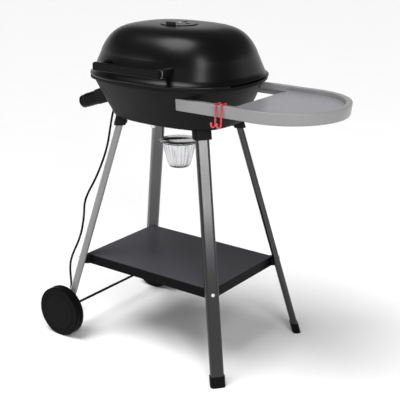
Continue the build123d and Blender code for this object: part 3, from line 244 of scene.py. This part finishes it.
# ------------------------------------------------------------------ lid
# The lid is one casting: a deep rounded dome with a bead round its mouth, and a
# low gap in the bead at each end to let smoke out. It has a satin black coating.
lid_low, lid_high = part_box("lid_shell")
kettle_x = (lid_low.x + lid_high.x) / 2
rim_height = 0.832
seam_gap = 0.0008
rim_x, rim_y = 0.249, 0.214
rim_square = 2.6
wall = 0.003
bead = 0.006
lip_top = rim_height + 0.008
dome_points = 160


def kettle_ring(bm, half_x, half_y, height):
    """A ring of edges with the kettle's outline, at that size and height."""
    made = bmesh.ops.create_circle(bm, cap_ends=False, segments=dome_points, radius=1.0)
    for vert in made["verts"]:
        across, along = vert.co.x, vert.co.y
        length = (abs(across) ** rim_square + abs(along) ** rim_square) ** (-1 / rim_square)
        vert.co = (kettle_x + across * length * half_x, along * length * half_y, height)
    return made["verts"]


def ring_edges(verts):
    """The edges that join those vertices to each other."""
    chosen = set(verts)
    return {edge for vert in verts for edge in vert.link_edges if edge.other_vert(vert) in chosen}


def loft_rings(bm, rings):
    """Bridges each ring to the next one."""
    for first, second in zip(rings, rings[1:]):
        bmesh.ops.bridge_loops(bm, edges=list(ring_edges(first) | ring_edges(second)))


def new_piece(name, bm, material, body, node):
    """Turns a bmesh into a smooth piece that rides on a body and stands for a CAD node."""
    mesh = bpy.data.meshes.new(name)
    for face in bm.faces:
        face.smooth = True
    bm.to_mesh(mesh)
    bm.free()
    mesh.materials.append(material)
    piece = bpy.data.objects.new(name, mesh)
    bpy.context.scene.collection.objects.link(piece)
    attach(piece, body)
    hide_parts(node)
    return piece


dome_side = 0.056
dome_rise = 0.137
side_x, side_y = 0.92, 0.87
shoulder_steps = 17
shoulder_power = 6
shoulder_fall = 1.1
lip_step = 0.001


def dome_rows(inset):
    """Half sizes and heights up the lid, from its mouth to the middle of its crown."""
    rows = []
    for part in (0.02, 0.25, 0.5, 0.75, 1.0):
        rows.append((1 - (1 - side_x) * part, 1 - (1 - side_y) * part, dome_side * part))
    for step in range(1, shoulder_steps):
        lean = math.radians(90 * step / shoulder_steps)
        share = math.cos(lean) ** (2 / shoulder_power)
        climb = (1 - share**shoulder_power) ** (1 / shoulder_fall)
        rows.append((side_x * share, side_y * share, dome_side + (dome_rise - dome_side) * climb))
    for share in (0.36, 0.26, 0.16, 0.07):
        rows.append((side_x * share, side_y * share, dome_rise - 0.0001 * (1 - share)))
    sized = []
    for x, y, z in rows:
        drop = inset * min(1, z / dome_side)
        sized.append((x * (rim_x - lip_step) - inset, y * (rim_y - lip_step) - inset, lip_top + z - drop))
    return sized


lid_paint = shader("lid_paint", (0.0018, 0.0018, 0.0021), 0.30, spread=0.15, grain=420.0, bump=0.03,
                   shine=0.22)
lid_bm = bmesh.new()
lip_corners = [
    (-0.004, rim_height + seam_gap),
    (bead - 0.0012, rim_height + seam_gap),
    (bead, rim_height + 0.0022),
    (bead, lip_top - 0.0022),
    (bead - 0.0015, lip_top - 0.0004),
    (lip_step, lip_top + 0.0002),
]
lip_rows = [(rim_x + out, rim_y + out, height) for out, height in lip_corners]
outside = [kettle_ring(lid_bm, *row) for row in lip_rows + dome_rows(0)]
inside = [kettle_ring(lid_bm, *row) for row in dome_rows(wall)]
loft_rings(lid_bm, outside)
loft_rings(lid_bm, inside)
bmesh.ops.bridge_loops(lid_bm, edges=list(ring_edges(outside[0]) | ring_edges(inside[0])))
bmesh.ops.contextual_create(lid_bm, geom=list(ring_edges(outside[-1])))
bmesh.ops.contextual_create(lid_bm, geom=list(ring_edges(inside[-1])))
notch_half = 0.092
notch_top = lip_top - 0.0015
for ring in outside[:4]:
    for vert in ring:
        if abs(vert.co.y) < notch_half and abs(vert.co.x - kettle_x) > 0.1:
            vert.co.z = max(vert.co.z, notch_top)
bmesh.ops.recalc_face_normals(lid_bm, faces=lid_bm.faces)
lid = new_piece("lid_dome", lid_bm, lid_paint, "lid", "lid_shell")
dress(lid_paint, "lid_handle_brackets", "lid_hinge_leaves", "vent_disc")

# ------------------------------------------------------------------ kettle bowl
# The bowl is the lower casting, with a flat bottom and steep sides. Its coating
# is a little greyer and coarser than the lid's, like its leg sockets and brackets.
bowl_paint = shader("bowl_paint", (0.0065, 0.0065, 0.007), 0.48, spread=0.18, grain=500.0, bump=0.10,
                    shine=0.08)
dress(bowl_paint, "leg_sockets", "control_shroud", edge=0.0015)
dress(bowl_paint, "bowl_shell", "bowl_hinge_brackets", "grate_supports")

# ------------------------------------------------------------------ handle
# A flat moulded bar on two cast brackets, with a bright aluminium spacer between
# the bar and each bracket, all held by two screws from inside.
handle_plastic = shader("handle_plastic", (0.0025, 0.0025, 0.0025), 0.36, grain=600.0, bump=0.05, shine=0.08)
spacer_metal = shader("spacer_metal", (0.70, 0.70, 0.72), 0.28, metallic=1.0, grain=900.0, bump=0.03)
screw_zinc = shader("screw_zinc", (0.62, 0.62, 0.63), 0.25, metallic=1.0, grain=900.0, bump=0.03)
dress(handle_plastic, "lid_handle_bar", edge=0.0012)
dress(spacer_metal, "handle_ferrules", "heat_reflector")
dress(screw_zinc, "handle_screws", "vent_rivet", "hinge_pins", "reflector_studs", "element_clips",
      "cup_holder_screws", "shelf_screws", "axle_push_nuts", "table_screws")

# ------------------------------------------------------------------ cooking parts
# Inside the bowl: an enamelled grate, a bent tubular element that the heat has
# tinted, and a plain aluminium reflector that drains to the cup.
grate_enamel = shader("grate_enamel", (0.02, 0.02, 0.02), 0.3, coat=0.3, grain=300.0, bump=0.05)
element_sheath = shader("element_sheath", (0.16, 0.14, 0.12), 0.38, metallic=1.0, spread=0.3, patch=14.0)
dress(grate_enamel, "cooking_grate")
dress(element_sheath, "heating_element")

# ------------------------------------------------------------------ controller
# A plug-in thermostat with a round knob and a red lamp. It is moulded in black
# plastic and pushes on to the element's terminals.
dress(handle_plastic, "controller_housing", "temperature_knob")
lamp_red = shader("lamp_red", (0.5, 0.02, 0.02), 0.15, coat=0.6, bump=0.0)
dress(lamp_red, "indicator_lamp")

# ------------------------------------------------------------------ drip cup
# A thin foil cup pressed with upright flutes. It hangs by its rim in a wire
# holder that is screwed to the underside of the bowl.
foil = shader("foil", (0.62, 0.62, 0.63), 0.24, metallic=1.0, spread=0.06, grain=120.0, bump=0.3)
cup_low, cup_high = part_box("drip_cup")
cup_x = (cup_low.x + cup_high.x) / 2
flute_count = 26
flute_points = flute_count * 8
flute_strength = 1.6


def cup_ring(bm, radius, height, flute):
    """A ring of edges round the cup, with that depth of flute."""
    made = bmesh.ops.create_circle(bm, cap_ends=False, segments=flute_points, radius=radius)
    for vert in made["verts"]:
        angle = math.atan2(vert.co.y, vert.co.x)
        share = 1 - flute * flute_strength / radius * (0.5 + 0.5 * math.cos(flute_count * angle))
        vert.co = (cup_x + vert.co.x * share, vert.co.y * share, height)
    return made["verts"]


cup_bm = bmesh.new()
rim_level = cup_high.z - 0.0006
cup_rows = [
    (0.0583, rim_level - 0.0016, 0.0), (0.0585, rim_level - 0.0004, 0.0), (0.0578, rim_level, 0.0),
    (0.0530, rim_level, 0.0), (0.0512, rim_level - 0.002, 0.0004), (0.0505, rim_level - 0.008, 0.0014),
    (0.0455, rim_level - 0.032, 0.0018), (0.0390, rim_level - 0.058, 0.0018),
    (0.0345, rim_level - 0.074, 0.0016), (0.0300, cup_low.z + 0.0016, 0.0009),
    (0.0240, cup_low.z + 0.0006, 0.0), (0.0120, cup_low.z + 0.0005, 0.0), (0.0030, cup_low.z + 0.0005, 0.0),
]
cup_rings = [cup_ring(cup_bm, *row) for row in cup_rows]
loft_rings(cup_bm, cup_rings)
bmesh.ops.contextual_create(cup_bm, geom=list(ring_edges(cup_rings[-1])))
bmesh.ops.recalc_face_normals(cup_bm, faces=cup_bm.faces)
cup = new_piece("foil_cup", cup_bm, foil, "cup", "drip_cup")
cup_wall = cup.modifiers.new("wall", "SOLIDIFY")
cup_wall.thickness = 0.0005
cup_wall.offset = 0.0
wire_black = shader("wire_black", (0.003, 0.003, 0.003), 0.35, grain=500.0, bump=0.03, shine=0.15)
dress(wire_black, "drip_cup_holder", "axle", "socket_screws")

# ------------------------------------------------------------------ legs
# Flat-oval steel tube. The two legs on the wheels' side are silver and end at the
# axle. The two on the table's side are gloss black and stand in moulded foot caps.
silver_paint = shader("silver_paint", (0.215, 0.215, 0.22), 0.40, metallic=0.35, spread=0.05, grain=900.0,
                      bump=0.03)
gloss_black = shader("gloss_black", (0.0012, 0.0012, 0.0015), 0.20, spread=0.1, grain=300.0, bump=0.01,
                     shine=0.6)
dress(silver_paint, "leg_front_left", "leg_rear_left")
dress(gloss_black, "leg_front_right", "leg_rear_right")
dress(handle_plastic, "foot_caps", "leg_end_plugs", edge=0.0015)

# ------------------------------------------------------------------ shelf
# A pressed steel tray with a deep skirt, in a nearly black semi-gloss powder coat. Faces that point up
# are painted a lighter dark grey as painted light from above, and the skirt stays nearly black, so its colour
# follows the way a face points.
shelf_paint = shader("shelf_paint", (0.0030, 0.0030, 0.0034), 0.34, spread=0.06, grain=600.0, bump=0.06,
                     shine=0.06)
shelf_nodes = shelf_paint.node_tree.nodes
facing = shelf_nodes.new("ShaderNodeTexCoord")
facing_parts = shelf_nodes.new("ShaderNodeSeparateXYZ")
# painted light: faces that point up get a lighter grey, as if lit from above; the others stay nearly black
painted_top_light = shelf_nodes.new("ShaderNodeValToRGB")
painted_top_light.color_ramp.elements[0].position = 0.5
painted_top_light.color_ramp.elements[0].color = (0.0015, 0.0015, 0.0018, 1)
painted_top_light.color_ramp.elements[1].position = 0.95
painted_top_light.color_ramp.elements[1].color = (0.055, 0.054, 0.062, 1)
shelf_paint.node_tree.links.new(facing.outputs["Normal"], facing_parts.inputs["Vector"])
shelf_paint.node_tree.links.new(facing_parts.outputs["Z"], painted_top_light.inputs["Fac"])
shelf_paint.node_tree.links.new(painted_top_light.outputs["Color"], shelf_nodes["Principled BSDF"].inputs["Base Color"])
dress(shelf_paint, "shelf", edge=0.0015)

# ------------------------------------------------------------------ wheels
# Moulded wheels with a grooved tread, and a round cap that hides the push nut.
wheel_rubber = shader("wheel_rubber", (0.002, 0.002, 0.002), 0.5, grain=500.0, bump=0.12, shine=0.06)
cap_plastic = shader("cap_plastic", (0.002, 0.002, 0.002), 0.38, grain=700.0, bump=0.06, shine=0.06)
dress(wheel_rubber, "wheel_front", "wheel_rear", edge=0.0012)
dress(cap_plastic, "hub_cap_front", "hub_cap_rear")

# ------------------------------------------------------------------ side table
# A silver-grey moulded rail, half round at its end, that carries a paler tray.
rail_plastic = shader("rail_plastic", (0.215, 0.215, 0.217), 0.30, spread=0.04, grain=700.0, bump=0.06)
tray_plastic = shader("tray_plastic", (0.235, 0.235, 0.255), 0.30, spread=0.04, grain=900.0, bump=0.10)
dress(rail_plastic, "table_frame", edge=0.0035)
dress(tray_plastic, "table_tray", edge=0.0006)

# ------------------------------------------------------------------ tool hooks
# Two bent steel wires, dipped in glossy red, that hang over the front rail.
hook_red = shader("hook_red", (0.55, 0.008, 0.012), 0.22, coat=0.6, spread=0.08, grain=200.0, bump=0.02)
dress(hook_red, "tool_hook_left", "tool_hook_right")
